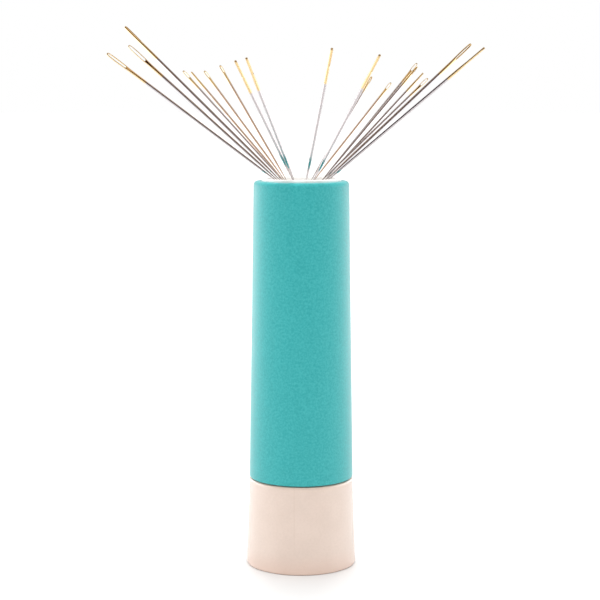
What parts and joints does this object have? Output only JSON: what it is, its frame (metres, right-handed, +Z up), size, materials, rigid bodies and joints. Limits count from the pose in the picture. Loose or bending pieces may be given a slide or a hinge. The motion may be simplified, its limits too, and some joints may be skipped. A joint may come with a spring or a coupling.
{
  "type": "twist-up magnetic needle case",
  "caption": "Tapered twist-up case whose magnetic carrier rises to fan sewing needles out of the mouth, with a matte sleeve over a glossy base.",
  "frame": {"origin": "centre of the base's underside", "axes": "+Z up along the case's axis; -Y is the front that the picture shows"},
  "size_m": [0.0893, 0.0746, 0.1327],
  "materials": {
    "teal_matte": "fine spark-eroded matt texture",
    "cream_gloss": "glossy moulded, with a faint parting line",
    "inner_plastic": "smooth moulded",
    "rubber_ring": "greased rubber",
    "plate_steel": "zinc-plated",
    "magnet_nickel": "nickel-plated",
    "needle_steel": "polished steel shaft with a gold-plated eye"
  },
  "bodies": {
    "base": {"base_shell": "cream_gloss", "bottom_cap": "cream_gloss", "guide_tube": "inner_plastic", "friction_ring": "rubber_ring"},
    "sleeve": {"outer_sleeve": "teal_matte", "spiral_tube": "inner_plastic"},
    "magnet_carrier": {"carrier": "inner_plastic", "backing_plate": "plate_steel", "magnet": "magnet_nickel"},
    "long_needle_1": {"long_needle_1": "needle_steel"},
    "long_needle_2": {"long_needle_2": "needle_steel"},
    "long_needle_3": {"long_needle_3": "needle_steel"},
    "long_needle_4": {"long_needle_4": "needle_steel"},
    "long_needle_5": {"long_needle_5": "needle_steel"},
    "long_needle_6": {"long_needle_6": "needle_steel"},
    "long_needle_7": {"long_needle_7": "needle_steel"},
    "long_needle_8": {"long_needle_8": "needle_steel"},
    "long_needle_9": {"long_needle_9": "needle_steel"},
    "short_needle_1": {"short_needle_1": "needle_steel"},
    "short_needle_2": {"short_needle_2": "needle_steel"},
    "short_needle_3": {"short_needle_3": "needle_steel"},
    "short_needle_4": {"short_needle_4": "needle_steel"},
    "short_needle_5": {"short_needle_5": "needle_steel"},
    "short_needle_6": {"short_needle_6": "needle_steel"},
    "short_needle_7": {"short_needle_7": "needle_steel"},
    "short_needle_8": {"short_needle_8": "needle_steel"},
    "short_needle_9": {"short_needle_9": "needle_steel"},
    "short_needle_10": {"short_needle_10": "needle_steel"}
  },
  "joints": [
    {"name": "sleeve_turn", "type": "hinge", "parent": "base", "child": "sleeve", "pos_m": [0, 0, 0], "axis": [0, 0, 1], "range_deg": [0, 720]},
    {"name": "carrier_lift", "type": "slide", "parent": "base", "child": "magnet_carrier", "axis": [0, 0, 1], "range_m": [-0.06, 0], "deforming": ["long_needle_1", "long_needle_2", "long_needle_3", "long_needle_4", "long_needle_5", "long_needle_6", "long_needle_7", "long_needle_8", "long_needle_9", "short_needle_1", "short_needle_2", "short_needle_3", "short_needle_4", "short_needle_5", "short_needle_6", "short_needle_7", "short_needle_8", "short_needle_9", "short_needle_10"]},
    {"name": "long_needle_1_tilt", "type": "hinge", "parent": "magnet_carrier", "child": "long_needle_1", "pos_m": [-0.00547, -0.00043, 0.09455], "axis": [0.0785, -0.9969, 0], "range_deg": [-53, 0]},
    {"name": "long_needle_2_tilt", "type": "hinge", "parent": "magnet_carrier", "child": "long_needle_2", "pos_m": [-0.00522, 0.00071, 0.09455], "axis": [-0.1349, -0.9909, 0], "range_deg": [-49.4, 0]},
    {"name": "long_needle_3_tilt", "type": "hinge", "parent": "magnet_carrier", "child": "long_needle_3", "pos_m": [-0.0047, 0.00146, 0.09455], "axis": [-0.2965, -0.955, 0], "range_deg": [-46.4, 0]},
    {"name": "long_needle_4_tilt", "type": "hinge", "parent": "magnet_carrier", "child": "long_needle_4", "pos_m": [-0.0016, -0.00423, 0.09455], "axis": [0.9351, -0.3543, 0], "range_deg": [-52.45, 0]},
    {"name": "long_needle_5_tilt", "type": "hinge", "parent": "magnet_carrier", "child": "long_needle_5", "pos_m": [-0.00151, -0.00518, 0.09455], "axis": [0.96, -0.2798, 0], "range_deg": [-52, 0]},
    {"name": "long_needle_6_tilt", "type": "hinge", "parent": "magnet_carrier", "child": "long_needle_6", "pos_m": [0.00099, -0.00592, 0.09455], "axis": [0.9863, 0.165, 0], "range_deg": [-48, 0]},
    {"name": "long_needle_7_tilt", "type": "hinge", "parent": "magnet_carrier", "child": "long_needle_7", "pos_m": [0.00244, -0.00548, 0.09455], "axis": [0.9135, 0.4067, 0], "range_deg": [-49.75, 0]},
    {"name": "long_needle_8_tilt", "type": "hinge", "parent": "magnet_carrier", "child": "long_needle_8", "pos_m": [0.00547, 0.00159, 0.09455], "axis": [-0.2798, 0.96, 0], "range_deg": [-50.8, 0]},
    {"name": "long_needle_9_tilt", "type": "hinge", "parent": "magnet_carrier", "child": "long_needle_9", "pos_m": [0.00561, -0.00213, 0.09455], "axis": [0.3543, 0.9351, 0], "range_deg": [-50.75, 0]},
    {"name": "short_needle_1_tilt", "type": "hinge", "parent": "magnet_carrier", "child": "short_needle_1", "pos_m": [-0.00433, 0.00284, 0.09455], "axis": [-0.5483, -0.8363, 0], "range_deg": [-49.05, 0]},
    {"name": "short_needle_2_tilt", "type": "hinge", "parent": "magnet_carrier", "child": "short_needle_2", "pos_m": [-0.00415, 0.00351, 0.09455], "axis": [-0.6461, -0.7632, 0], "range_deg": [-48.9, 0]},
    {"name": "short_needle_3_tilt", "type": "hinge", "parent": "magnet_carrier", "child": "short_needle_3", "pos_m": [-0.00386, 0.00425, 0.09455], "axis": [-0.7402, -0.6724, 0], "range_deg": [-50.75, 0]},
    {"name": "short_needle_4_tilt", "type": "hinge", "parent": "magnet_carrier", "child": "short_needle_4", "pos_m": [-0.00353, 0.00486, 0.09455], "axis": [-0.809, -0.5878, 0], "range_deg": [-45.75, 0]},
    {"name": "short_needle_5_tilt", "type": "hinge", "parent": "magnet_carrier", "child": "short_needle_5", "pos_m": [0.0022, 0.00397, 0.09455], "axis": [-0.8746, 0.4848, 0], "range_deg": [-53.8, 0]},
    {"name": "short_needle_6_tilt", "type": "hinge", "parent": "magnet_carrier", "child": "short_needle_6", "pos_m": [0.00281, 0.00363, 0.09455], "axis": [-0.7907, 0.6122, 0], "range_deg": [-53.4, 0]},
    {"name": "short_needle_7_tilt", "type": "hinge", "parent": "magnet_carrier", "child": "short_needle_7", "pos_m": [0.00484, 0.00355, 0.09455], "axis": [-0.5913, 0.8064, 0], "range_deg": [-46.9, 0]},
    {"name": "short_needle_8_tilt", "type": "hinge", "parent": "magnet_carrier", "child": "short_needle_8", "pos_m": [0.00466, 0.00291, 0.09455], "axis": [-0.5299, 0.848, 0], "range_deg": [-47.6, 0]},
    {"name": "short_needle_9_tilt", "type": "hinge", "parent": "magnet_carrier", "child": "short_needle_9", "pos_m": [0.00531, 0.0028, 0.09455], "axis": [-0.4656, 0.885, 0], "range_deg": [-46.75, 0]},
    {"name": "short_needle_10_tilt", "type": "hinge", "parent": "magnet_carrier", "child": "short_needle_10", "pos_m": [0.00465, 0.00209, 0.09455], "axis": [-0.4107, 0.9118, 0], "range_deg": [-52.1, 0]}
  ],
  "couplings": [
    {"joint": "carrier_lift", "follows": "sleeve_turn", "m_per_rad": -0.0047746},
    {"joint": "long_needle_1_tilt", "follows": "sleeve_turn", "ratio": -0.073611},
    {"joint": "long_needle_2_tilt", "follows": "sleeve_turn", "ratio": -0.068611},
    {"joint": "long_needle_3_tilt", "follows": "sleeve_turn", "ratio": -0.064444},
    {"joint": "long_needle_4_tilt", "follows": "sleeve_turn", "ratio": -0.072847},
    {"joint": "long_needle_5_tilt", "follows": "sleeve_turn", "ratio": -0.072222},
    {"joint": "long_needle_6_tilt", "follows": "sleeve_turn", "ratio": -0.066666},
    {"joint": "long_needle_7_tilt", "follows": "sleeve_turn", "ratio": -0.069097},
    {"joint": "long_needle_8_tilt", "follows": "sleeve_turn", "ratio": -0.070555},
    {"joint": "long_needle_9_tilt", "follows": "sleeve_turn", "ratio": -0.070486},
    {"joint": "short_needle_1_tilt", "follows": "sleeve_turn", "ratio": -0.068124},
    {"joint": "short_needle_2_tilt", "follows": "sleeve_turn", "ratio": -0.067916},
    {"joint": "short_needle_3_tilt", "follows": "sleeve_turn", "ratio": -0.070486},
    {"joint": "short_needle_4_tilt", "follows": "sleeve_turn", "ratio": -0.063541},
    {"joint": "short_needle_5_tilt", "follows": "sleeve_turn", "ratio": -0.074722},
    {"joint": "short_needle_6_tilt", "follows": "sleeve_turn", "ratio": -0.074166},
    {"joint": "short_needle_7_tilt", "follows": "sleeve_turn", "ratio": -0.065138},
    {"joint": "short_needle_8_tilt", "follows": "sleeve_turn", "ratio": -0.066111},
    {"joint": "short_needle_9_tilt", "follows": "sleeve_turn", "ratio": -0.06493},
    {"joint": "short_needle_10_tilt", "follows": "sleeve_turn", "ratio": -0.072361}
  ]
}
